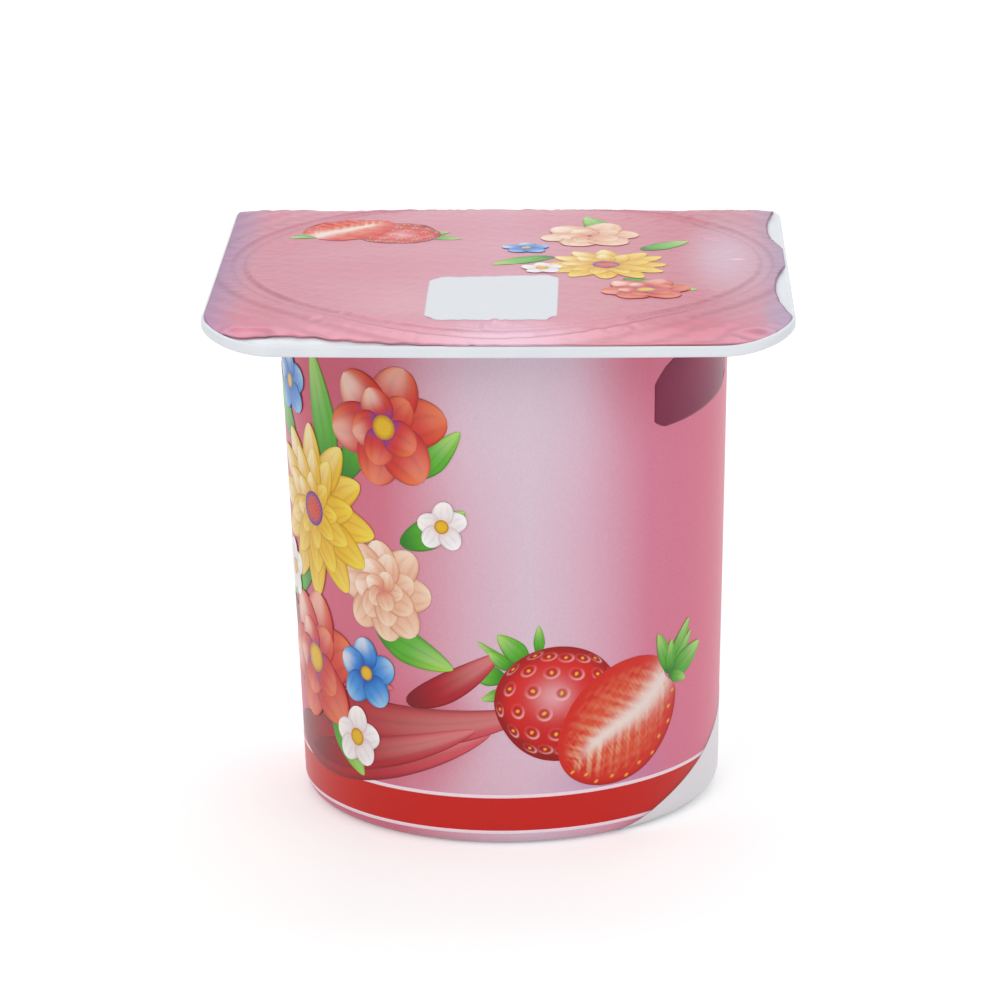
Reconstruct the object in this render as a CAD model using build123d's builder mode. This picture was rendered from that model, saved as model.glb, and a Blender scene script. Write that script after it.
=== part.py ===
import os

from build123d import *

# A small sealed yogurt pot: a thermoformed cup with a square flange, a printed paper band
# wrapped round its body and a thin foil lid sealed on the flange.
# Millimetres. The origin is the centre of the base, on the surface that the pot stands on,
# with +Z up and -Y towards the front of the print.

# Body of the cup
body_top_radius = 26.1
body_base_radius = 24.45
base_round = 1.9
neck_round = 0.3            # between the body and the underside of the flange
standing_ring_width = 3.0
base_recess_depth = 0.9
base_recess_round = 0.6
most_recess_round = 0.9     # the largest share of the recess's depth that its rounding takes

# Flange, square with rounded corners
flange_overhang = 6.9       # past the body's top, at the middle of each side
flange_corner_radius = 8.2
flange_thickness = 1.25
flange_top = 63.0
edge_drop = 1.4             # how far the front and back edges lie below the flat part
bend_clearance = 0.35       # from the paper band to where those two edges start to bend down

# Paper band round the body
label_thickness = 0.15
label_neck_clearance = 0.1  # from the neck rounding to the band's upper edge
label_foot_clearance = 0.15  # from the standing surface to the band's lower edge
label_seam_gap = 0.5        # between the band's two ends, at the back

# Foil lid
foil_thickness = 0.1
foil_inset = 0.35           # from the flange's edge to the foil's edge

# Sizes that follow from those
flange_half = body_top_radius + flange_overhang
flange_width = 2 * flange_half
flange_underside = flange_top - flange_thickness
flat_half = body_top_radius + label_thickness + bend_clearance
bend_run = flange_half - flat_half
bend_radius = (bend_run**2 + edge_drop**2) / (2 * edge_drop)
ring_inner_radius = body_base_radius - base_round - standing_ring_width
recess_round = min(base_recess_round, base_recess_depth * most_recess_round)
label_low = label_foot_clearance
label_high = flange_underside - neck_round - label_neck_clearance
foil_half = flange_half - foil_inset
foil_width = 2 * foil_half
foil_top = flange_top + foil_thickness


def sheet_section(level, thickness, half_width):
    """Section across a sheet that is flat in the middle, with its upper face at the given
    level, and follows the flange's bend out to half_width on both sides."""
    run = half_width - flat_half
    drop = bend_radius - (bend_radius**2 - run**2) ** 0.5
    under = level - thickness
    with BuildSketch(Plane.YZ) as section:
        with BuildLine():
            upper = Line((0, level), (flat_half, level))
            bend = TangentArc(upper @ 1, (half_width, level - drop), tangent=(1, 0))
            Line(bend @ 1, (half_width, under - drop))
            lower = Line((0, under), (flat_half, under))
            TangentArc(lower @ 1, (half_width, under - drop), tangent=(1, 0))
            mirror(about=Plane.YZ)
        make_face()
    return section.sketch


def body_section(growth):
    """Half section of the tapered body with its rounded foot, larger all round by growth."""
    with BuildSketch(Plane.XZ) as section:
        with BuildLine():
            Polyline(
                (0, -growth),
                (body_base_radius + growth, -growth),
                (body_top_radius + growth, flange_underside),
                (0, flange_underside),
                close=True,
            )
        make_face()
        foot = section.vertices().group_by(Axis.Y)[0].sort_by(Axis.X)[-1]
        fillet(foot, base_round + growth)
    return section.sketch


flange_section = sheet_section(flange_top, flange_thickness, flange_half)
foil_section = sheet_section(foil_top, foil_thickness, foil_half)
wall_section = body_section(0)
band_section = body_section(label_thickness)


with BuildPart() as cup:
    extrude(flange_section, amount=flange_half, both=True)
    with BuildSketch(Plane.XY):
        RectangleRounded(flange_width, flange_width, flange_corner_radius)
    extrude(amount=flange_top, mode=Mode.INTERSECT)

    revolve(wall_section, axis=Axis.Z)
    circles = cup.edges().filter_by(GeomType.CIRCLE)
    circles_at_neck = circles.filter_by_position(Axis.Z, flange_underside, flange_underside)
    fillet(circles_at_neck.group_by(SortBy.RADIUS)[-1], neck_round)

    with BuildSketch(Plane.XZ) as recess_section:
        Rectangle(ring_inner_radius, base_recess_depth, align=(Align.MIN, Align.MIN))
        ceiling_corner = recess_section.vertices().group_by(Axis.Y)[-1].sort_by(Axis.X)[-1]
        fillet(ceiling_corner, recess_round)
    revolve(axis=Axis.Z, mode=Mode.SUBTRACT)
cup.part.label = "cup"


with BuildPart() as label:
    revolve(band_section, axis=Axis.Z)
    revolve(wall_section, axis=Axis.Z, mode=Mode.SUBTRACT)
    with BuildSketch(Plane.XY.offset(label_low)):
        Circle(flange_half)
    extrude(amount=label_high - label_low, mode=Mode.INTERSECT)
    with BuildSketch(Plane.XY):
        with Locations((0, flange_half)):
            Rectangle(label_seam_gap, flange_width)
    extrude(amount=flange_top, mode=Mode.SUBTRACT)
label.part.label = "label"


with BuildPart() as lid:
    extrude(foil_section, amount=foil_half, both=True)
    with BuildSketch(Plane.XY):
        RectangleRounded(foil_width, foil_width, flange_corner_radius - foil_inset)
    extrude(amount=foil_top, mode=Mode.INTERSECT)
lid.part.label = "lid"


os.makedirs("parts", exist_ok=True)
export_step(cup.part, "parts/cup.step")
export_step(label.part, "parts/label.step")
export_step(lid.part, "parts/lid.step")
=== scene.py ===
import bpy
import numpy as np
from mathutils import Matrix, Vector


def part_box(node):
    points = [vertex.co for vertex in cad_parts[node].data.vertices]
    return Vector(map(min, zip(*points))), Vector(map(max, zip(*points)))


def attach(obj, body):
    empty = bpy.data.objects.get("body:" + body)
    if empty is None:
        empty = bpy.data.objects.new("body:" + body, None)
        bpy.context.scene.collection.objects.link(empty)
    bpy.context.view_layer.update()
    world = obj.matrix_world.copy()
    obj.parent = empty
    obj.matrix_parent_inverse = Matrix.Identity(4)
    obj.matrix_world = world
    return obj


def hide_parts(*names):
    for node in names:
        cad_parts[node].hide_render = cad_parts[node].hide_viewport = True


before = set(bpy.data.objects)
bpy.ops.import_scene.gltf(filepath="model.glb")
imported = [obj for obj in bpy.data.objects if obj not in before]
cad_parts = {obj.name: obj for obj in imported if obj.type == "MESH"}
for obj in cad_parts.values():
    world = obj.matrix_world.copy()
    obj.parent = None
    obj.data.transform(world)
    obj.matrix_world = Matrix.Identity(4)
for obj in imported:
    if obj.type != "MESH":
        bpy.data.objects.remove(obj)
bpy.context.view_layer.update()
metre = 0.001  # shapes are worked out in millimetres
fullTurn = 6.28

cupHigh = np.array(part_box("cup")[1]) / metre
labelHigh = np.array(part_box("label")[1]) / metre
lidHigh = np.array(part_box("lid")[1]) / metre

# the sizes that several pieces share; the overall ones come from the frame
pot = {"half": cupHigh[0], "top": cupHigh[2], "thick": 1.25, "corner": 8.2, "rimRound": 0.35,
       "neck": 26.1, "neckRound": 0.3, "foot": 24.45, "footRound": 1.9,
       "ringInner": 19.55, "recess": 0.9, "recessRound": 0.6, "columns": 360}
bend = {"flat": 24.0, "drop": 1.44, "middleSag": 0.25, "lean": -0.0118, "leanFrom": 45, "leanTo": 61}
band = {"roll": 25.45, "low": -0.38, "top": labelHigh[2], "thick": 0.15, "overlap": 2.5, "step": 0.16,
        "waviness": 0.012, "columns": 420, "rows": 100}
foil = {"top": lidHigh[2], "inset": 0.35, "ringInner": 29.7, "ringOuter": 31.3, "fold": 33.7,
        "thick": 0.1, "columns": 660, "rows": 132}
inkThick = 0.02


def smooth(low, high, x):
    # 0 below low and 1 above high, with 3t^2 - 2t^3 between them; low may be the larger one
    t = np.clip((x - low) / (high - low), 0, 1)
    return t * t * (3 - 2 * t)


def peak(x, centre, width):
    # a bell exp(-((x - centre) / width)^2)
    return np.exp(-(((x - centre) / width) ** 2))


def ripple(x, y, length, count, seed):
    # sum of plane waves in random directions, with wavelengths near the given length
    rng = np.random.default_rng(seed)
    total = np.zeros(np.broadcast(x, y).shape)
    for turn, phase, stretch in zip(rng.uniform(0, np.pi, count), rng.uniform(0, fullTurn, count),
                                    rng.uniform(0.6, 1.6, count)):
        along = x * np.cos(turn) + y * np.sin(turn)
        total += np.sin(along * fullTurn / (length * stretch) + phase)
    return total / np.sqrt(count)


def flangeDrop(x, y):
    # the flange bends down as a parabola towards its front and back edges, most at the middle
    run = np.clip((np.abs(y) - bend["flat"]) / (pot["half"] - bend["flat"]), 0, 1.2)
    sag = bend["drop"] + bend["middleSag"] * np.cos(np.pi * x / (2 * pot["half"]))
    return sag * run**2


def settle(x, z):
    # the flange leans a little to one side, and the lean fades out down the body
    return np.tan(bend["lean"]) * x * smooth(bend["leanFrom"], bend["leanTo"], z)


def squareReach(turn, half, corner):
    # distance from the middle to the edge of a square whose corners are arcs
    c, s = np.abs(np.cos(turn)), np.abs(np.sin(turn))
    k = half - corner
    side = half / np.maximum(c, s)
    inCorner = np.minimum(c, s) / np.maximum(c, s) * half > k
    arc = k * (c + s) + np.sqrt(np.maximum(corner**2 - k**2 * (c - s) ** 2, 0))
    return np.where(inCorner, arc, side)


def joinGrids(grids):
    # quads join neighbouring points of each grid, and are turned round where they face against "out"
    points, faces, uvs, fields, start = [], [], [], {}, 0
    for grid in grids:
        p = grid["points"]
        rows, cols = p.shape[:2]
        index = start + np.arange(rows * cols).reshape(rows, cols)
        if grid.get("closed"):
            index = np.concatenate([index, index[:, :1]], 1)
        quads = np.stack([index[:-1, :-1], index[:-1, 1:], index[1:, 1:], index[1:, :-1]], -1)
        quads = quads.reshape(-1, 4)
        if grid.get("out") is not None:
            a, b, c = (p.reshape(-1, 3)[quads[:, i] - start] for i in (0, 1, 2))
            if (np.cross(b - a, c - a) * grid["out"](a)).sum() < 0:
                quads = quads[:, ::-1]
        points.append(p.reshape(-1, 3))
        faces.append(quads)
        uvs.append(grid.get("uv", p[..., :2] / 66 + 0.5).reshape(-1, 2))
        for key, value in grid.get("fields", {}).items():
            fields.setdefault(key, []).append(np.broadcast_to(value, (rows, cols)).reshape(-1))
        start += rows * cols
    fields = {key: np.concatenate(value) for key, value in fields.items()}
    return np.concatenate(points), np.concatenate(faces), np.concatenate(uvs), fields


def buildMesh(name, grids, material, replaced=None, thick=0.0):
    # the joined grids as one smooth piece, with its map, its fields and its place in the frame
    points, faces, uvs, fields = joinGrids(grids)
    mesh = bpy.data.meshes.new(name)
    mesh.vertices.add(len(points))
    mesh.vertices.foreach_set("co", (points * metre).astype(np.float32).ravel())
    mesh.loops.add(faces.size)
    mesh.loops.foreach_set("vertex_index", faces.astype(np.int32).ravel())
    mesh.polygons.add(len(faces))
    mesh.polygons.foreach_set("loop_start", np.arange(0, faces.size, 4, dtype=np.int32))
    mesh.polygons.foreach_set("use_smooth", np.ones(len(faces), bool))
    mesh.update(calc_edges=True)
    layer = mesh.uv_layers.new(name="wrap")
    layer.data.foreach_set("uv", uvs[faces.ravel()].astype(np.float32).ravel())
    for key, value in fields.items():
        field = mesh.attributes.new(key, "FLOAT", "POINT")
        field.data.foreach_set("value", value.astype(np.float32))
    piece = bpy.data.objects.new(name, mesh)
    bpy.context.scene.collection.objects.link(piece)
    mesh.materials.append(material)
    if replaced:
        weld = piece.modifiers.new("closePoles", "WELD")
        weld.merge_threshold = 1e-6
        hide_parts(replaced)
    if thick:
        wall = piece.modifiers.new("inkThickness", "SOLIDIFY")
        wall.thickness = thick * metre
        wall.offset = -1
    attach(piece, "root")
    return piece


def ink(code):
    # a colour written as it looks on paper, to the linear values that shaders take
    v = np.array([int(code[i:i + 2], 16) for i in (0, 2, 4)]) / 255
    return (*np.where(v <= 0.04045, v / 12.92, ((v + 0.055) / 1.055) ** 2.4), 1)


def newGroup(name, inputs, outputs):
    group = bpy.data.node_groups.new(name, "ShaderNodeTree")
    for label, kind in inputs:
        group.interface.new_socket(label, in_out="INPUT", socket_type=kind)
    for label, kind in outputs:
        group.interface.new_socket(label, in_out="OUTPUT", socket_type=kind)
    return group, group.nodes.new("NodeGroupInput"), group.nodes.new("NodeGroupOutput")


def plug(tree, socket, value):
    # a link when the value is another node's socket, otherwise the number or colour itself
    if hasattr(value, "is_linked"):
        tree.links.new(value, socket)
    else:
        socket.default_value = value


def mathNode(tree, kind, first, second):
    node = tree.nodes.new("ShaderNodeMath")
    node.operation = kind
    plug(tree, node.inputs[0], first)
    plug(tree, node.inputs[1], second)
    return node.outputs[0]


def mixNode(tree, share, first, second):
    # first colour where the share is 0, second where it is 1
    node = tree.nodes.new("ShaderNodeMix")
    node.data_type = "RGBA"
    plug(tree, node.inputs[0], share)
    plug(tree, node.inputs[6], first)
    plug(tree, node.inputs[7], second)
    return node.outputs[2]


def attribute(tree, name):
    node = tree.nodes.new("ShaderNodeAttribute")
    node.attribute_name = name
    return node.outputs["Fac"]


def makePrintGrain():
    # fine speckle of a printed screen: brightness is 1 + (noise - 0.5) * amount
    group, start, end = newGroup(
        "printGrain",
        [("Color", "NodeSocketColor"), ("Coordinate", "NodeSocketVector"),
         ("Scale", "NodeSocketFloat"), ("Amount", "NodeSocketFloat")],
        [("Color", "NodeSocketColor"), ("Height", "NodeSocketFloat")])
    noise = group.nodes.new("ShaderNodeTexNoise")
    noise.inputs["Detail"].default_value = 3
    group.links.new(start.outputs["Coordinate"], noise.inputs["Vector"])
    group.links.new(start.outputs["Scale"], noise.inputs["Scale"])
    centred = mathNode(group, "SUBTRACT", noise.outputs["Fac"], 0.5)
    swing = mathNode(group, "MULTIPLY", centred, start.outputs["Amount"])
    bright = group.nodes.new("ShaderNodeHueSaturation")
    group.links.new(mathNode(group, "ADD", swing, 1.0), bright.inputs["Value"])
    group.links.new(start.outputs["Color"], bright.inputs["Color"])
    group.links.new(bright.outputs[0], end.inputs["Color"])
    group.links.new(noise.outputs["Fac"], end.inputs["Height"])
    return group


def makeSoftSpot():
    # 1 at the centre of an ellipse, smoothly 0 at its edge
    group, start, end = newGroup(
        "softSpot",
        [("Coordinate", "NodeSocketVector"), ("Centre", "NodeSocketVector"),
         ("Spread", "NodeSocketVector")],
        [("Mask", "NodeSocketFloat")])
    away, scaled, length = (group.nodes.new("ShaderNodeVectorMath") for _ in range(3))
    away.operation = "SUBTRACT"
    scaled.operation = "DIVIDE"
    length.operation = "LENGTH"
    fade = group.nodes.new("ShaderNodeMapRange")
    fade.interpolation_type = "SMOOTHSTEP"
    fade.inputs["To Min"].default_value = 1
    fade.inputs["To Max"].default_value = 0
    group.links.new(start.outputs["Coordinate"], away.inputs[0])
    group.links.new(start.outputs["Centre"], away.inputs[1])
    group.links.new(away.outputs[0], scaled.inputs[0])
    group.links.new(start.outputs["Spread"], scaled.inputs[1])
    group.links.new(scaled.outputs[0], length.inputs[0])
    group.links.new(length.outputs["Value"], fade.inputs["Value"])
    group.links.new(fade.outputs[0], end.inputs["Mask"])
    return group


grainGroup, spotGroup = makePrintGrain(), makeSoftSpot()


def newMaterial(name, roughness, metallic=0.0, specular=0.28):
    material = bpy.data.materials.new(name)
    material.use_nodes = True
    shader = material.node_tree.nodes["Principled BSDF"]
    shader.inputs["Roughness"].default_value = roughness
    shader.inputs["Metallic"].default_value = metallic
    shader.inputs["Specular IOR Level"].default_value = specular
    return material, material.node_tree, shader


def addRelief(tree, shader, height, strength, distance):
    relief = tree.nodes.new("ShaderNodeBump")
    relief.inputs["Strength"].default_value = strength
    relief.inputs["Distance"].default_value = distance
    tree.links.new(height, relief.inputs["Height"])
    tree.links.new(relief.outputs[0], shader.inputs["Normal"])


inkFinish = {"scale": 4200.0, "relief": 0.06, "depth": 0.00003, "shadeColour": "5c0f1c"}


def finishInk(tree, shader, colour, grain):
    # the shade field darkens the colour, then the print grain speckles it and gives a little relief
    node = tree.nodes.new("ShaderNodeGroup")
    node.node_tree = grainGroup
    node.inputs["Scale"].default_value = inkFinish["scale"]
    node.inputs["Amount"].default_value = grain
    place = tree.nodes.new("ShaderNodeTexCoord")
    tree.links.new(place.outputs["Object"], node.inputs["Coordinate"])
    shaded = mixNode(tree, attribute(tree, "shade"), colour, ink(inkFinish["shadeColour"]))
    tree.links.new(shaded, node.inputs["Color"])
    tree.links.new(node.outputs["Color"], shader.inputs["Base Color"])
    addRelief(tree, shader, node.outputs["Height"], inkFinish["relief"], inkFinish["depth"])


def addSpots(tree, colour, coordinate, spots):
    # each spot is laid over the colour so far, by its mask times its strength
    for centre, spread, strength, code in spots:
        node = tree.nodes.new("ShaderNodeGroup")
        node.node_tree = spotGroup
        node.inputs["Centre"].default_value = (*centre, 0)
        node.inputs["Spread"].default_value = (*spread, 1)
        tree.links.new(coordinate, node.inputs["Coordinate"])
        share = mathNode(tree, "MULTIPLY", node.outputs["Mask"], strength)
        colour = mixNode(tree, share, colour, ink(code))
    return colour


def gradientInk(name, stops, spots, roughness, grain, **finish):
    # a ramp across the print, then soft spots on it; both are placed in mm on the print
    material, tree, shader = newMaterial(name, roughness, **finish)
    across = attribute(tree, "across")
    join = tree.nodes.new("ShaderNodeCombineXYZ")
    tree.links.new(across, join.inputs[0])
    tree.links.new(attribute(tree, "up"), join.inputs[1])
    low, high = stops[0][0], stops[-1][0]
    ramp = tree.nodes.new("ShaderNodeValToRGB")
    steps = ramp.color_ramp.elements
    for place, code in stops[1:-1]:
        steps.new((place - low) / (high - low))
    for step, (place, code) in zip(steps, stops):
        step.color = ink(code)
    share = mathNode(tree, "DIVIDE", mathNode(tree, "SUBTRACT", across, low), high - low)
    tree.links.new(share, ramp.inputs[0])
    finishInk(tree, shader, addSpots(tree, ramp.outputs[0], join.outputs[0], spots), grain)
    return material


def layeredInk(name, base, layers=(), roughness=0.3, grain=0.1):
    # a base colour with further colours laid on by the piece's own fields, in order
    material, tree, shader = newMaterial(name, roughness)
    colour = ink(base)
    for field, code in layers:
        colour = mixNode(tree, attribute(tree, field), colour, ink(code))
    finishInk(tree, shader, colour, grain)
    return material


def makePotPlastic():
    # two near whites clouded together, with a faint unevenness
    material, tree, shader = newMaterial("potPlastic", 0.38)
    place = tree.nodes.new("ShaderNodeTexCoord")
    cloud = tree.nodes.new("ShaderNodeTexNoise")
    cloud.inputs["Scale"].default_value = 260
    tree.links.new(place.outputs["Object"], cloud.inputs["Vector"])
    colour = mixNode(tree, cloud.outputs["Fac"], ink("e2e7ee"), ink("eef1f5"))
    tree.links.new(colour, shader.inputs["Base Color"])
    addRelief(tree, shader, cloud.outputs["Fac"], 0.15, 0.00005)
    return material


potPlastic = makePotPlastic()

# stops are (mm across, colour); spots are (centre, half widths, strength, colour)
labelColours = {
    "stops": [(-80, "d86f86"), (-36, "d25c75"), (-14, "d6768c"), (-4, "dfb2c3"), (3, "e0c6d6"),
              (9, "e1b6c8"), (18, "dd829e"), (28, "e0748e"), (40, "de6480"), (80, "d7667c")],
    "spots": [((1, 54), (15, 22), 0.8, "dfcad8"), ((18, 58), (11, 14), 0.75, "d67186"),
              ((-9, 14), (9, 9), 0.8, "d2566c"), ((3, 8), (13, 9), 0.75, "e3bccd"),
              ((-26, 52), (16, 16), 0.7, "d04c64"), ((12, 7.5), (11, 4), 0.35, "a58cc4")]}
lidColours = {
    "stops": [(-33, "9c6c96"), (-31, "b0769a"), (-28.5, "ca7a8f"), (-15, "cf8496"), (0, "d392a6"),
              (12, "cf8494"), (22, "c66c80"), (29, "c58096"), (33, "9f88ab")],
    "spots": [((1, -31), (12, 6), 0.85, "dab4c6"), ((-10, -20), (12, 10), 0.5, "d9a2ae"),
              ((26, 2), (7, 26), 0.9, "d0aec0"), ((22, -28), (9, 3.5), 0.5, "c2586c"),
              ((-27, -24), (6, 9), 0.5, "c8687c"), ((31.5, -24), (3, 9), 0.6, "a58fb2")]}
labelPink = gradientInk("labelPink", **labelColours, roughness=0.34, grain=0.2)
lidPink = gradientInk("lidPink", **lidColours, roughness=0.36, grain=0.16, metallic=0.15, specular=0.6)

bandRed = layeredInk("bandRed", "cd2118", roughness=0.32, grain=0.12)
lineWhite = layeredInk("lineWhite", "f8e4ee", roughness=0.32, grain=0.12)
panelWhite = layeredInk("panelWhite", "e9e8ec", roughness=0.4, grain=0.05)
patchWhite = layeredInk("patchWhite", "dfe2e8", roughness=0.4, grain=0.05)
badgeMaroon = layeredInk("badgeMaroon", "7d1d42", [("glow", "a2305f")])
berrySkin = layeredInk("berrySkin", "d8201a", [
    ("dark", "8c0a0c"), ("glow", "eeb6bc"), ("pit", "b80f10"), ("ring", "f4c4c0"), ("seed", "f3bf45")], 0.25)
berryFlesh = layeredInk("berryFlesh", "d62a1c", [
    ("flesh", "e4653f"), ("fibre", "f2c29b"), ("core", "f3e3dc"), ("dark", "9c0d0c"), ("seed", "f0b444")])


def petalInk(name, inner, middle, outer, line):
    return layeredInk(name, middle, [("inner", inner), ("outer", outer), ("line", line), ("lit", "fff4e6")])


leafInk = petalInk("leafInk", "2f7d22", "5cb32c", "a6dc4a", "1f4f1c")
goldInk = petalInk("goldInk", "c8860f", "eab71c", "f6de47", "a8650c")
poppyInk = petalInk("poppyInk", "5a3aa0", "d5382e", "ee7a45", "8c1626")
peachInk = petalInk("peachInk", "d98573", "ecb594", "f6dcc2", "b8624c")
blueInk = petalInk("blueInk", "1b4fa8", "3f8fdc", "9cd0f2", "173a80")
whiteInk = petalInk("whiteInk", "e3c9c4", "f2ebec", "ffffff", "c9a6ac")
ribbonInk = petalInk("ribbonInk", "7d1420", "b3202c", "dc5a66", "5e0c16")
print("materials made")


def onBand(across, up, lift):
    # across is mm round the body from the front, up is mm along the wall; under the foot's top the
    # point follows the foot's rounding, and lift moves it straight out of the surface
    footR = pot["footRound"] + band["thick"]
    top, low = pot["neck"] + band["thick"], pot["foot"] + band["thick"]
    curl = np.clip((footR - up) / footR, 0, None)
    z = np.where(curl > 0, footR - footR * np.sin(curl), up)
    wall = pot["top"] - pot["thick"] - footR
    radius = low + (top - low) * np.clip((up - footR) / wall, 0, 1)
    radius = radius - footR * (1 - np.cos(curl)) + lift * np.cos(curl)
    radius = radius + band["waviness"] * ripple(across, up, 17, 5, 3)
    z = z - lift * np.sin(curl)
    turn = across / band["roll"]
    x, y = radius * np.sin(turn), -radius * np.cos(turn)
    return np.stack([x, y, z + settle(x, z)], -1)


# each dimple is x, y, half length, half width
dimples = [(-27.3, -30.0, 2.1, 1.1), (28.2, -30.4, 2.0, 1.0),
           (-27.6, 30.0, 2.0, 1.1), (27.8, 30.2, 2.1, 1.0)]
relief = {"ring": 0.14, "innerBead": 0.12, "outerBead": 0.08, "slackness": 0.16, "crumple": 0.03,
          "wrinkle": 0.085, "fold": 0.16, "foldGroove": 0.07, "flutter": 0.08,
          "dimple": 0.34, "dimpleLip": 0.12}


def radialWrinkles(r, turn):
    # four fans of slanting rays added up, strongest inside the ring and just outside it
    rng = np.random.default_rng(21)
    strength = np.clip(0.5 + 0.6 * ripple(turn * 9, r * 0.2, 3.0, 5, 8), 0, 1.5)
    wave = np.zeros_like(r)
    for count, phase, slant in zip((61, 83, 107, 139), rng.uniform(0, fullTurn, 4), (0.5, -0.8, 1.1, -0.4)):
        wave = wave + np.sin(count * turn + phase + slant * (r - 29)) / 2
    near = peak(r, 27.4, 1.9) + 0.8 * peak(r, 32.7, 1.0)
    return wave * near * strength


def foilRelief(x, y):
    # sealing ring pressed in, beads and wrinkles beside it, a fold round the tool's edge and dents
    # at the corners; hollows die away at the flange's very edge
    r, turn = np.hypot(x, y), np.arctan2(y, x)
    inner, outer, fold = foil["ringInner"], foil["ringOuter"], foil["fold"]
    ring = smooth(inner - 0.2, inner + 0.2, r) - smooth(outer - 0.2, outer + 0.2, r)
    z = -relief["ring"] * ring + relief["innerBead"] * peak(r, inner - 0.15, 0.2)
    z = z + relief["outerBead"] * peak(r, outer + 0.15, 0.22)
    z = z + relief["slackness"] * ripple(x, y, 22, 6, 11) * smooth(29, 20, r)
    z = z + relief["crumple"] * ripple(x, y, 2.6, 9, 5) + relief["wrinkle"] * radialWrinkles(r, turn)
    z = z - relief["fold"] * smooth(fold - 0.5, fold + 0.7, r) - relief["foldGroove"] * peak(r, fold, 0.35)
    z = z + relief["flutter"] * np.sin((r - fold) * 1.9 + 1.1 * np.sin(turn * 5)) * smooth(33.8, 36, r)
    for cx, cy, rx, ry in dimples:
        d = np.sqrt(((x - cx) / rx) ** 2 + ((y - cy) / ry) ** 2)
        z = z - relief["dimple"] * np.exp(-(d**3)) + relief["dimpleLip"] * peak(d, 1.35, 0.3)
    edge = smooth(pot["half"] - 0.2, pot["half"] - 1.4, np.maximum(np.abs(x), np.abs(y)))
    return np.where(z < 0, z * edge, z)


def onLid(x, y, lift):
    # height is the foil's top, less the flange's bend, plus the relief and the lift
    z = foil["top"] - flangeDrop(x, y) + foilRelief(x, y) + lift
    return np.stack([x, y, z + settle(x, z)], -1)


def sideways(p):
    return p * [1, 1, 0]


def upwards(p):
    return p * 0 + [0, 0, 1]


surfaces = {"band": (onBand, sideways, "label_paper"), "lid": (onLid, upwards, "lid_foil")}


def curlLine(up):
    # where the pink print gives way to the bare panel: a page corner that sweeps away to the right
    return 14.6 + 42.5 * (1 - np.exp(-((np.clip(up, 0, None) / 12.0) ** 1.25)))


def curlShade(across, up):
    # a soft shade on the pink side of that line, fading out over about a millimetre
    away = curlLine(up) - across
    return 0.6 * np.exp(-np.clip(away, 0, None) / 0.8) * (away > -0.2) * (across > 0)


def printed(kind, a, b, lift, **fields):
    # a grid laid on a surface at (a, b), with its map running 0 to 1 over the grid
    place, out, slotName = surfaces[kind]
    v, u = np.meshgrid(np.linspace(0, 1, a.shape[0]), np.linspace(0, 1, a.shape[1]), indexing="ij")
    if kind == "band":
        fields.setdefault("shade", curlShade(a, b))
    fields.update(across=a, up=b)
    return {"points": place(a, b, lift), "uv": np.stack([u, v], -1), "fields": fields, "out": out}


def layPrint(name, grids, material):
    buildMesh(name, grids, material, thick=inkThick)


def makePot():
    # round rows from the base's middle up to the neck, then rows that spread to the square rim and back in
    cols = pot["columns"]
    turn = np.linspace(0, 2 * np.pi, cols, endpoint=False)[None, :]
    q = np.linspace(0, np.pi / 2, 7)
    ringR, rec, recR = pot["ringInner"], pot["recess"], pot["recessRound"]
    foot, footR, neck, neckR = pot["foot"], pot["footRound"], pot["neck"], pot["neckRound"]
    under = pot["top"] - pot["thick"]
    wall = np.linspace(0, 1, 30)
    r = np.concatenate([[0, 6, 12], ringR - recR + recR * np.sin(q), [ringR, ringR + 0.1, ringR + 0.4],
                        foot - footR + footR * np.sin(q), foot + (neck - foot) * wall[1:],
                        neck + neckR * (1 - np.cos(q[1:]))])
    z = np.concatenate([[rec] * 3, rec - recR * (1 - np.cos(q)), [0.15, 0.03, 0],
                        footR - footR * np.cos(q), footR + (under - neckR - footR) * wall[1:],
                        under - neckR + neckR * np.sin(q[1:])])
    r = np.broadcast_to(r[:, None], (len(r), cols))
    z = np.broadcast_to(z[:, None], (len(z), cols))
    x, y = r * np.cos(turn), r * np.sin(turn)
    body = np.stack([x, y, z + settle(x, z)], -1)

    reach, e = squareReach(turn, pot["half"], pot["corner"]), pot["rimRound"]
    outward = np.linspace(0, 1, 16)[1:, None]
    inward = np.linspace(0, 1, 90)[1:, None]
    rimQ = np.linspace(0, np.pi / 2, 6)[1:, None]
    start = neck + neckR
    flangeR = [start + (reach - e - start) * outward, reach - e + e * np.sin(rimQ),
               reach - e + e * np.cos(rimQ), (reach - e) * (1 - inward)]
    flangeZ = [under + 0 * outward, under + e * (1 - np.cos(rimQ)),
               pot["top"] - e + e * np.sin(rimQ), pot["top"] + 0 * inward]
    r = np.concatenate([np.broadcast_to(a, (len(a), cols)) for a in flangeR])
    z = np.concatenate([np.broadcast_to(a, (len(a), cols)) for a in flangeZ])
    x, y = r * np.cos(turn), r * np.sin(turn)
    # under the foil the top keeps just below the foil's hollows
    sunk = (np.minimum(foilRelief(x, y), 0) - 0.18) * smooth(0, 0.5, reach - e - r) * (z > pot["top"] - 0.01)
    flange = np.stack([x, y, z - flangeDrop(x, y) + settle(x, z) + sunk - 0.03], -1)
    grid = {"points": np.concatenate([body, flange]), "closed": True}
    buildMesh("potShell", [grid], potPlastic, "cup")
    print("pot made")


def seamLift(across):
    # the band's last stretch rises over its first, and print that crosses the seam rises with it
    half = np.pi * band["roll"]
    end = half + band["overlap"]
    return band["step"] * smooth(half - 1.5, half, across) * smooth(end + 1, end, across)


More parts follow.
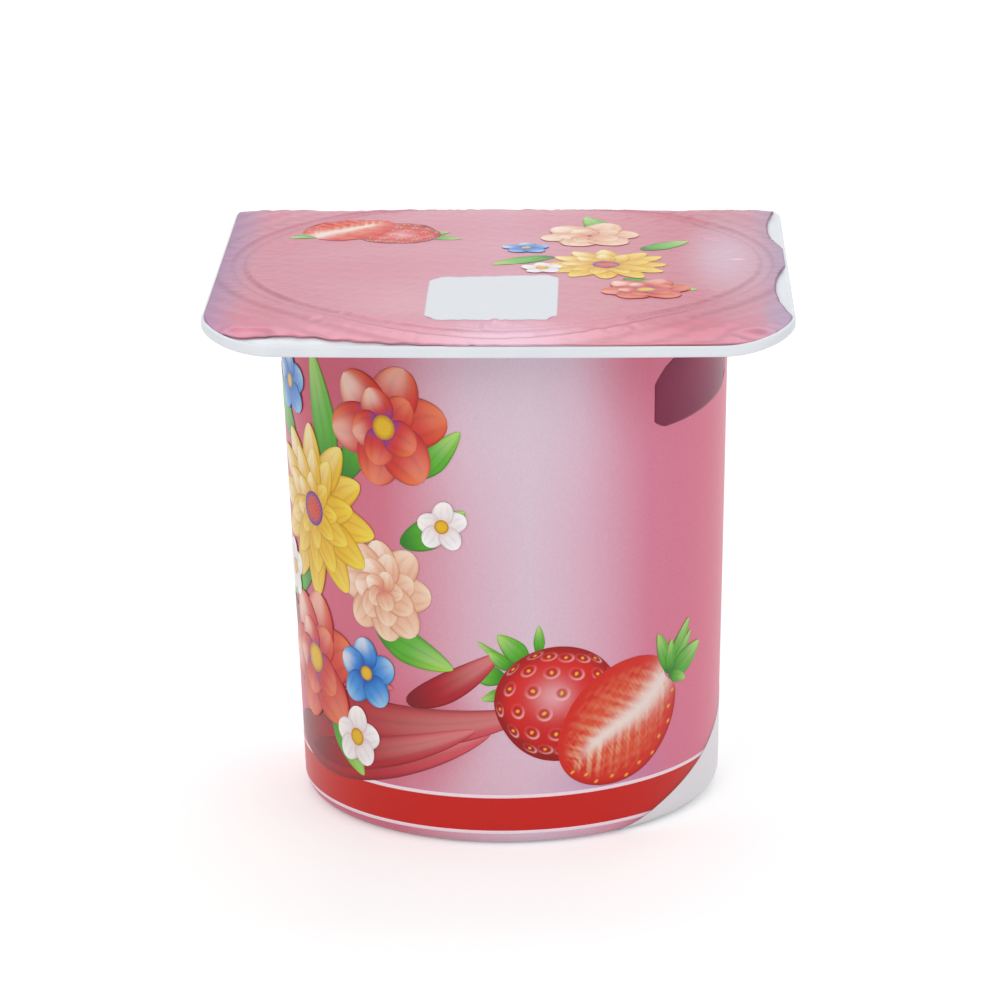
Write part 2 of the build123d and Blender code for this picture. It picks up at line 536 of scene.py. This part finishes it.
def makeBand():
    # the paper band: one sheet rolled round the body, its last stretch lying on its first at the back
    half = np.pi * band["roll"]
    across = np.linspace(-half, half + band["overlap"], band["columns"])[None, :]
    up = np.concatenate([np.linspace(band["low"], 3, 14)[:-1], np.linspace(3, band["top"], band["rows"])])
    across, up = np.broadcast_arrays(across, up[:, None])
    lift = band["step"] * smooth(half - 1.5, half, across)
    buildMesh("paperBand", [printed("band", across, up, lift)], labelPink, "label",
              thick=band["thick"])
    print("band made")


def frontInset(x, isFront):
    # the foil stops short of the front edge at the left, and its cut is a little ragged there
    return 0.3 + 2.3 * smooth(-2, -30, x) * isFront + 0.12 * np.sin(x * 1.7) * smooth(2, -12, x) * isFront


def rightInset(y):
    # two shallow scallops in the right edge, each a parabola
    first = 1.6 * np.clip(1 - ((y + 14) / 12.7) ** 2, 0, None)
    second = 1.6 * np.clip(1 - ((y - 18) / 12) ** 2, 0, None)
    return 0.2 + first + second


def makeFoil():
    # the lid: rays from the middle out to the cut edge, with the relief as height, closed underneath
    cols = foil["columns"]
    turn = np.linspace(0, 2 * np.pi, cols, endpoint=False)
    c, s = np.cos(turn), np.sin(turn)
    cFar, sFar = np.maximum(np.abs(c), 1e-3), np.maximum(np.abs(s), 1e-3)
    h = pot["half"]
    reach = squareReach(turn, h - foil["inset"], pot["corner"] - foil["inset"])
    right = rightInset(h * s / cFar)
    frontReach = (h - frontInset(h * c / sFar, s < 0)) / np.maximum(-s, 1e-3)
    rightReach = (h - right) / np.maximum(c, 1e-3)
    reach = np.where(s < 0, np.minimum(reach, frontReach), reach)
    reach = np.where(c > 0, np.minimum(reach, rightReach), reach)
    t = np.linspace(0, 1, foil["rows"])[:, None]
    x, y = t * reach * c, t * reach * s
    top = onLid(x, y, 0.02)
    under = [onLid(k * x[-1:], k * y[-1:], -0.5) for k in (0.97, 0.5, 0.0)]
    under.insert(0, top[-1:] - [0, 0, foil["thick"]])
    points = np.concatenate([top, *under])
    # painted shadow darkens the cut edge at the scallops, and painted shade darkens the pressed ring and
    # fold a little
    r = np.hypot(x, y)
    edge = 0.85 * smooth(0.992, 1.0, t) * smooth(0.3, 0.9, right) * (c > 0)
    creaseShade = 0.2 * peak(r, foil["ringInner"] + 0.2, 0.25) + 0.16 * peak(r, foil["ringOuter"], 0.25)
    creaseShade = creaseShade + 0.22 * peak(r, foil["fold"], 0.5)
    shade = np.concatenate([np.maximum(edge, creaseShade), np.zeros((len(under), cols))])
    grid = {"points": points, "closed": True, "out": upwards,
            "fields": {"across": points[..., 0], "up": points[..., 1], "shade": shade}}
    buildMesh("foilLid", [grid], lidPink, "lid")
    print("lid made")


bandPrint = {"lower": 1.81, "upper": 6.21, "line": 0.42, "left": -52.0}


def strip(name, low, high, right, material, lift, cols, rows=6, left=bandPrint["left"], **fields):
    # rows run from the left end to the right end, and either end may be a line of the height
    a, t = np.meshgrid(np.linspace(0, 1, cols), np.linspace(0, 1, rows))
    up = low + (high - low) * t
    start, end = (f(up) if callable(f) else f for f in (left, right))
    across = start + (end - start) * a
    layPrint(name, [printed("band", across, up, lift + seamLift(across), **fields)], material)


def makeBandPrint():
    low, high, w = bandPrint["lower"], bandPrint["upper"], bandPrint["line"]
    strip("redBand", low, high, curlLine, bandRed, 0.02, 300, 14)
    strip("lineUpper", high - w / 2, high + w / 2, curlLine, lineWhite, 0.026, 300)
    strip("lineLower", low - w / 2, low + w / 2, curlLine, lineWhite, 0.026, 300)
    end = 2 * np.pi * band["roll"] + bandPrint["left"]  # the panel runs round the back to the band's start
    strip("barePanel", band["low"], band["top"], end, panelWhite, 0.03, 260, 120, left=curlLine, shade=0.0)
    print("band print made")


badge = {"left": 18.6, "middle": 27.0, "half": 8.4, "foot": 48.1, "head": 54.3, "climb": 0.6, "bow": 0.007}


def makeBadge():
    # a bare field whose foot bows up and whose head climbs to the right, until the flange hides it
    u, v = np.meshgrid(np.linspace(-1, 1, 60), np.linspace(-1, 1, 40))
    k = 0.86
    x = u * np.sqrt(1 - np.clip((np.abs(v) - k) / (1 - k), 0, 1) ** 2 * 0.16)
    y = v * np.sqrt(1 - np.clip((np.abs(u) - k) / (1 - k), 0, 1) ** 2 * 0.35)
    across = badge["middle"] + badge["half"] * x
    run = across - badge["left"]
    low = badge["foot"] + badge["bow"] * run**2
    high = np.minimum(badge["head"] + badge["climb"] * run, band["top"] - 0.2)
    up = low + (high - low) * (y + 1) / 2
    glow = 0.5 * np.exp(-((x - 0.2) ** 2 + (y - 0.1) ** 2) * 1.5)
    layPrint("badgeField", [printed("band", across, up, 0.03, glow=glow)], badgeMaroon)
    print("badge made")


def discGrid(n):
    # a square grid pressed into a unit disc, so it has no pole
    u, v = np.meshgrid(np.linspace(-1, 1, n), np.linspace(-1, 1, n))
    return u * np.sqrt(1 - v * v / 2), v * np.sqrt(1 - u * u / 2)


def turned(x, y, angle, cx, cy, size=1.0):
    # scaled, turned by the angle in degrees, then moved to (cx, cy)
    c, s = np.cos(np.radians(angle)), np.sin(np.radians(angle))
    return cx + size * (x * c - y * s), cy + size * (x * s + y * c)


wholeShape = {"half": (7.6, 6.9), "seedRow": 21.5, "seedStep": 27.0}


def wholeBerry(kind, name, cx, cy, size, angle, lift):
    # a rounded cone outline; seeds sit in a staggered lattice on a ball, each in a pit with a pale rim
    x, y = discGrid(120)
    lat, lon = np.meshgrid(np.radians(np.arange(-75, 76, wholeShape["seedRow"])),
                           np.radians(np.arange(-80, 81, wholeShape["seedStep"])), indexing="ij")
    lon = lon + np.radians(wholeShape["seedStep"] / 2) * (np.arange(lat.shape[0])[:, None] % 2)
    sx, sy = (np.sin(lon) * np.cos(lat)).ravel(), np.sin(lat).ravel()
    keep = sx**2 + sy**2 < 0.92
    sx, sy = sx[keep], sy[keep]
    # distances to each seed, drawn out where the ball turns away
    depth = np.sqrt(np.clip(1 - sx**2 - sy**2, 0.08, 1))
    dx, dy = x[..., None] - sx, y[..., None] - sy
    rr = np.hypot(sx, sy) + 1e-6
    radial, side = (dx * sx + dy * sy) / rr / depth, (-dx * sy + dy * sx) / rr
    d = np.hypot(radial, side)
    tilt = (dx * 0.5 - dy * 0.85) / (d + 1e-3)
    seed = (1 - smooth(0.028, 0.05, np.hypot(radial, side * 1.5))).max(-1)
    pit = (1 - smooth(0.06, 0.1, d)).max(-1) * 0.75
    ring = (peak(d, 0.118, 0.017) * np.clip(0.35 + 0.6 * tilt, 0.08, 1)).max(-1)
    glow = 0.75 * np.exp(-(((x + 0.1) / 0.3) ** 2 + ((y - 0.12) / 0.3) ** 2))
    dark = np.clip(0.75 * smooth(0.72, 1.0, np.hypot(x, y)) + 0.3 * smooth(0.1, -1, y), 0, 0.85)
    taper = 1 - 0.10 * smooth(0, 1, -y) * np.abs(x)
    halfX, halfY = wholeShape["half"]
    a, b = turned(x * halfX * taper, y * halfY, angle, cx, cy, size)
    grid = printed(kind, a, b, lift, seed=seed, pit=pit, ring=ring, glow=glow, dark=dark)
    layPrint(name, [grid], berrySkin)


halfShape = {"half": (8.9, 6.9), "seedStep": 15.0}


def halfBerry(kind, name, cx, cy, size, angle, lift):
    # the cut face: white core along the long axis, pale fibres running out of it, red rim with seeds
    x, y = discGrid(150)
    r = np.hypot(x, y)
    core = np.exp(-((y + 0.05 * np.sin(4 * x)) / (0.13 + 0.13 * smooth(-0.6, 0.9, x))) ** 2)
    core = core * smooth(-0.82, -0.45, x)
    lean = y + 0.35 * x * np.sign(y)
    streak = ripple(x * 9 + 14 * np.abs(y) * 0.35, y * 1.1, 1.0, 9, 13)
    streak = streak + 0.6 * ripple(x * 22, y * 5, 1.1, 6, 4)
    reachOut = np.exp(-np.clip(np.abs(y) - 0.16, 0, None) / 0.24)
    fibre = np.clip(0.25 + 0.42 * streak, 0, 1) * reachOut * smooth(0.95, 0.75, r)
    fibre = fibre * (1 - 0.4 * smooth(0.5, 1, lean))
    mottle = 0.2 * ripple(x, y, 0.16, 8, 6) * smooth(0.95, 0.8, r)
    flesh = np.clip(0.55 * smooth(0.95, 0.5, r) + mottle, 0, 1)
    dark = 0.55 * smooth(0.9, 1.0, r) * smooth(0.2, -0.8, y)
    # seeds stand along the lower edge, by turns nearer and farther
    around = np.radians(np.arange(-172, 10, halfShape["seedStep"]))
    ring = 0.9 + 0.035 * (-1.0) ** np.arange(len(around))
    d = np.hypot(x[..., None] - ring * np.cos(around), (y[..., None] - ring * np.sin(around)) * 1.3)
    seed = (1 - smooth(0.02, 0.04, d)).max(-1)
    halfX, halfY = halfShape["half"]
    notch = 1 - 0.13 * np.exp(-((np.arctan2(y, x) / 0.22) ** 2)) * smooth(0.6, 1, r)
    width = halfY * (1 - 0.08 * smooth(0, -1, x))
    a, b = turned(x * halfX * notch, y * width, angle, cx, cy, size)
    grid = printed(kind, a, b, lift, core=0.95 * core, fibre=fibre, flesh=flesh, dark=dark, seed=seed)
    layPrint(name, [grid], berryFlesh)


def petal(kind, bx, by, angle, length, width, curve, lift, lit=0.0, point=2.0):
    # t runs along a bent line and q across it; the half width is a superellipse of t, and a lower
    # point makes it more pointed
    rows, cols = int(18 + 3 * length), int(11 + 2 * width)
    t, q = np.meshgrid(np.linspace(0, 1, rows), np.linspace(-1, 1, cols), indexing="ij")
    half = width / 2 * (1 - np.abs(2 * t**0.85 - 1) ** point) ** (1 / point)
    a, b = turned(t * length, q * half + curve * length * t**2, angle, bx, by)
    veins = 0.35 * np.clip(np.sin(q * 9 + 0.6 * np.sin(t * 6)), 0, 1) ** 3
    veins = veins * smooth(0.05, 0.5, t) * smooth(1, 0.7, t)
    rim = 0.7 * smooth(0.8, 1, np.abs(q)) * smooth(0, 0.2, t)
    line = 0.75 * np.clip(np.maximum(veins, rim), 0, 1)
    side = 0.5 + 0.5 * q * np.sign(np.sin(np.radians(angle)) + 1e-3)
    shine = np.clip(lit * smooth(0.3, 0.8, t) * smooth(1, 0.2, np.abs(q - 0.2)), 0, 1)
    return printed(kind, a, b, lift, inner=smooth(0.45, 0, t), line=line, lit=shine,
                   outer=smooth(0.45, 1.0, t) * (0.45 + 0.55 * side))


petalStep = 0.0012  # each petal or leaf lies this much above the last


def bloom(kind, name, cx, cy, size, rings, tint, lift, seed, middle=None, point=2.0):
    # rings of petals round a middle, each petal turned and sized a little at random
    rng = np.random.default_rng(seed)
    grids = []
    for count, start, length, width, offset in rings:
        for k in range(count):
            angle = 360 * k / count + offset + rng.uniform(-6, 6)
            lit = 0.55 * max(0, np.cos(np.radians(angle - 130))) + rng.uniform(0, 0.12)
            lift += petalStep
            x, y = turned(start * size, 0, angle, cx, cy)
            grids.append(petal(kind, x, y, angle, length * size * rng.uniform(0.92, 1.06),
                               width * size, rng.uniform(-0.08, 0.08), lift, lit, point))
    layPrint(name, grids, tint)
    if middle:
        share, middleTint = middle
        x, y = discGrid(26)
        r = np.hypot(x, y)
        dots = np.clip(ripple(x, y, 0.22, 8, seed), 0, 1)
        grid = printed(kind, cx + x * share * size, cy + y * share * size, lift + 0.004,
                       inner=smooth(0.5, 1, r), outer=dots * smooth(1, 0.6, r), line=0.4 * dots, lit=0 * r)
        layPrint(name + "Middle", [grid], middleTint)


def leaves(kind, name, items, lift, tint=leafInk, point=1.5):
    # each item is x, y, angle, length, width, curve
    grids = []
    for item in items:
        lift += petalStep
        grids.append(petal(kind, *item, lift, 0.15, point))
    layPrint(name, grids, tint)


berries = {"whole": (6.3, 17.2), "wholeTurn": -8, "half": (14.3, 13.9), "halfTurn": 33, "stem": (21.4, 18.2),
           "leavesLeft": [(0.2, 20.6, 172, 5.0, 2.6, -0.1), (0.6, 18.9, 190, 3.4, 1.5, 0.1),
                          (1.6, 21.8, 152, 5.6, 1.0, -0.12), (2.6, 22.0, 122, 5.0, 2.6, 0.15),
                          (3.9, 23.2, 82, 3.6, 1.3, 0.1), (0.8, 21.6, 140, 3.4, 1.6, 0.0)],
           # angle, length, width and curve of the leaves that spread from the stem
           "leavesRight": [(104, 5.6, 2.2, 0.1), (62, 7.0, 2.2, -0.08), (40, 6.0, 1.6, 0.1),
                           (14, 6.6, 3.0, 0.12), (-22, 3.4, 1.6, 0.0), (84, 4.2, 1.6, 0.0)]}


def makeBerries():
    leaves("band", "leavesLeft", berries["leavesLeft"], 0.034)
    wholeBerry("band", "berryWhole", *berries["whole"], 1.0, berries["wholeTurn"], 0.046)
    halfBerry("band", "berryHalf", *berries["half"], 1.0, berries["halfTurn"], 0.052)
    leaves("band", "leavesRight", [(*berries["stem"], *leaf) for leaf in berries["leavesRight"]], 0.06)
    print("berries made")


# rings of petals: count, start, length and width as shares of the bloom's size, and first angle
petalRings = {"daisy": [(12, 0.22, 0.8, 0.42, 0), (10, 0.12, 0.62, 0.36, 15), (8, 0.05, 0.4, 0.28, 5)],
              "smallDaisy": [(12, 0.22, 0.8, 0.42, 0), (9, 0.1, 0.6, 0.36, 15)],
              "poppy": [(6, 0.08, 0.95, 0.85, 10), (5, 0.04, 0.62, 0.6, 40)],
              "peony": [(8, 0.15, 0.85, 0.7, 0), (7, 0.08, 0.62, 0.55, 20), (5, 0, 0.4, 0.4, 0)],
              "five": [(5, 0.1, 0.9, 0.85, 18)]}
goldMiddle, wideGoldMiddle = (0.2, goldInk), (0.28, goldInk)

bouquet = {
    "ribbons": [(-36, 9, -4, 34, 7.5, 0.22), (-34, 16, -16, 36, 6.0, 0.30), (-30, 7.6, 6, 27, 4.0, 0.14),
                (-12, 17, 18, 13, 3.6, 0.2), (-38, 24, -30, 24, 5, 0.3)],
    "leaves": [(-20, 42, 62, 15, 4.4, -0.1), (-22, 42, 96, 15, 4.6, 0.08), (-12, 36, 20, 9, 3.8, 0.15),
               (-27, 30, 200, 12, 5, 0.1), (-16, 26, -30, 11, 4.2, 0.1), (-30, 44, 135, 12, 4.4, 0.1),
               (-24, 14, -60, 9, 4, 0.1), (-10, 44, 40, 8, 3, 0.1)],
    # name, x, y, size, rings, ink, lift, seed, middle, point
    "blooms": [("bloomPoppy", -13.5, 49.5, 7.2, "poppy", poppyInk, 0.06, 4, goldMiddle, 2.0),
               ("bloomPeach", -14.5, 30.0, 6.4, "peony", peachInk, 0.06, 6, None, 2.0),
               ("bloomGold", -26.0, 37.5, 10.2, "daisy", goldInk, 0.09, 2, (0.2, poppyInk), 1.7),
               ("bloomRed", -27.5, 19.0, 8.0, "poppy", poppyInk, 0.11, 9, (0.22, goldInk), 2.0),
               ("bloomBlueUpper", -31.0, 51.5, 4.2, "five", blueInk, 0.12, 7, goldMiddle, 2.0),
               ("bloomBlueLower", -17.5, 19.5, 4.4, "five", blueInk, 0.12, 8, goldMiddle, 2.0),
               ("blossomOne", -19.5, 11.3, 3.8, "five", whiteInk, 0.13, 12, wideGoldMiddle, 2.0),
               ("blossomTwo", -6.8, 38.5, 3.0, "five", whiteInk, 0.13, 13, wideGoldMiddle, 2.0),
               ("blossomThree", -33.5, 28.5, 3.4, "five", whiteInk, 0.13, 14, wideGoldMiddle, 2.0)]}


def layBlooms(kind, blooms):
    for name, x, y, size, rings, tint, lift, seed, middle, point in blooms:
        bloom(kind, name, x, y, size, petalRings[rings], tint, lift, seed, middle, point)


def makeBouquet():
    # blooms, blossoms and ribbons spread over the left of the front
    leaves("band", "ribbons", bouquet["ribbons"], 0.034, ribbonInk, 1.7)
    leaves("band", "leavesBouquet", bouquet["leaves"], 0.042)
    layBlooms("band", bouquet["blooms"])
    print("bouquet made")


lidPrint = {
    "patchMiddle": (-0.8, -16.9), "patchHalf": (7.4, 10.0), "berrySize": 0.68,
    "leaves": [(14, -8, -40, 10, 3.4, 0.1), (6, 2, 200, 8, 3, 0.1), (16, 6, 30, 7, 3, 0.1),
               (12, 14, 100, 9, 3.4, 0.1)],
    "berryLeaves": [(-10, 13, -20, 5, 2, 0.1), (-21, 14, 200, 5, 2.2, 0.1), (-10, 13, 30, 4, 1.6, 0)],
    "blooms": [("lidBloomGold", 12.0, -1.5, 7.2, "smallDaisy", goldInk, 0.06, 22, (0.22, poppyInk), 1.7),
               ("lidBloomPoppy", 16.5, -13.5, 5.0, "poppy", poppyInk, 0.09, 24, (0.22, goldInk), 2.0),
               ("lidBloomPeach", 10.0, 13.0, 6.0, "poppy", peachInk, 0.09, 25, None, 2.0),
               ("lidBloomBlue", 2.6, 6.4, 3.0, "five", blueInk, 0.1, 26, goldMiddle, 2.0),
               ("lidBlossom", 4.6, -3.4, 2.6, "five", whiteInk, 0.11, 27, wideGoldMiddle, 2.0)]}


def makePatch():
    # a bare rectangle whose corners are drawn in a little
    u, v = np.meshgrid(np.linspace(-1, 1, 60), np.linspace(-1, 1, 70))
    k = 0.84
    x = u * (1 - 0.12 * np.clip((np.abs(v) - k) / (1 - k), 0, 1) ** 2 * np.abs(u) ** 6)
    y = v * (1 - 0.08 * np.clip((np.abs(u) - k) / (1 - k), 0, 1) ** 2 * np.abs(v) ** 6)
    (cx, cy), (halfX, halfY) = lidPrint["patchMiddle"], lidPrint["patchHalf"]
    grid = printed("lid", cx + halfX * x, cy + halfY * y, 0.05, shade=0.0)
    layPrint("barePatch", [grid], patchWhite)


def makeLidPrint():
    # the same motifs smaller, the bare patch, and berries in the far left quarter
    makePatch()
    leaves("lid", "leavesLid", lidPrint["leaves"], 0.05)
    layBlooms("lid", lidPrint["blooms"])
    leaves("lid", "leavesLidBerries", lidPrint["berryLeaves"], 0.05)
    wholeBerry("lid", "lidBerryWhole", -12.8, 14.0, lidPrint["berrySize"], 172, 0.058)
    halfBerry("lid", "lidBerryHalf", -18.6, 16.2, lidPrint["berrySize"], 220, 0.066)
    print("lid print made")


view = {"rise": 16.393, "turn": -1.599, "roll": 1.069, "away": 550.0,
        "aim": (-0.839, 0.0, 34.312), "lens": 168.2}


def makeCamera():
    # looks at the aim from away mm off and above, rolled a little, the whole turned about the pot's axis
    rise, roll = np.radians(view["rise"]), np.radians(view["roll"])
    c, s = np.cos(rise), np.sin(rise)
    right, up, ahead = np.array([1, 0, 0]), np.array([0, s, c]), np.array([0, c, -s])
    camX, camY = np.cos(roll) * right - np.sin(roll) * up, np.sin(roll) * right + np.cos(roll) * up
    place = np.array(view["aim"]) - view["away"] * ahead
    placed = np.eye(4)
    placed[:3] = np.stack([camX, camY, -ahead, place * metre], -1)
    camera = bpy.data.objects.new("camera", bpy.data.cameras.new("camera"))
    camera.data.lens = view["lens"]
    camera.data.sensor_width = 36
    camera.data.clip_start, camera.data.clip_end = 0.01, 20
    camera.matrix_world = Matrix.Rotation(-np.radians(view["turn"]), 4, "Z") @ Matrix(placed.tolist())
    bpy.context.scene.collection.objects.link(camera)
    bpy.context.scene.camera = camera
    print("camera made")


# each lamp is its place in metres, its size in metres and its power in watts
lamps = {"keyLamp": ((-0.35, -0.55, 0.55), 0.5, 1.5), "fillLamp": ((0.5, -0.5, 0.3), 0.6, 0.8),
         "topLamp": ((0.05, 0.35, 0.7), 0.5, 1.5)}
studio = {"light": 0.58, "seen": 0.42, "floorColour": (0.9, 0.9, 0.9, 1), "floorGlow": 0.3}


def seenDirectly(tree):
    # 1 for camera rays and for rays that mirror or pass through, 0 for the rest
    path = tree.nodes.new("ShaderNodeLightPath")
    seen = mathNode(tree, "MAXIMUM", path.outputs["Is Camera Ray"], path.outputs["Is Glossy Ray"])
    return mathNode(tree, "MAXIMUM", seen, path.outputs["Is Transmission Ray"])


def makeLight():
    for name, (place, size, power) in lamps.items():
        lamp = bpy.data.objects.new(name, bpy.data.lights.new(name, "AREA"))
        lamp.data.size = size
        lamp.data.energy = power
        lamp.location = place
        lamp.rotation_euler = (Vector((0, 0, 0.035)) - Vector(place)).to_track_quat("-Z", "Y").to_euler()
        bpy.context.scene.collection.objects.link(lamp)
    world = bpy.data.worlds.new("studio")
    bpy.context.scene.world = world
    world.use_nodes = True
    tree = world.node_tree
    glow = mathNode(tree, "MULTIPLY", seenDirectly(tree), studio["seen"])
    background = tree.nodes["Background"]
    background.inputs["Color"].default_value = (1, 1, 1, 1)
    tree.links.new(mathNode(tree, "ADD", glow, studio["light"]), background.inputs["Strength"])
    print("light made")


def makeFloor():
    mesh = bpy.data.meshes.new("floor")
    mesh.from_pydata([(-5, -5, 0), (5, -5, 0), (5, 5, 0), (-5, 5, 0)], [], [(0, 1, 2, 3)])
    floor = bpy.data.objects.new("floor", mesh)
    bpy.context.scene.collection.objects.link(floor)
    material, tree, shader = newMaterial("floorPale", 0.9, specular=0.0)
    shader.inputs["Base Color"].default_value = studio["floorColour"]
    shader.inputs["Emission Color"].default_value = (1, 1, 1, 1)
    glow = mathNode(tree, "MULTIPLY", seenDirectly(tree), studio["floorGlow"])
    tree.links.new(glow, shader.inputs["Emission Strength"])
    mesh.materials.append(material)
    print("floor made")


makeCamera()
makeLight()
makeFloor()
makePot()
makeBand()
makeBandPrint()
makeBadge()
makeBerries()
makeBouquet()
makeFoil()
makeLidPrint()
bpy.context.scene.view_settings.view_transform = "Standard"
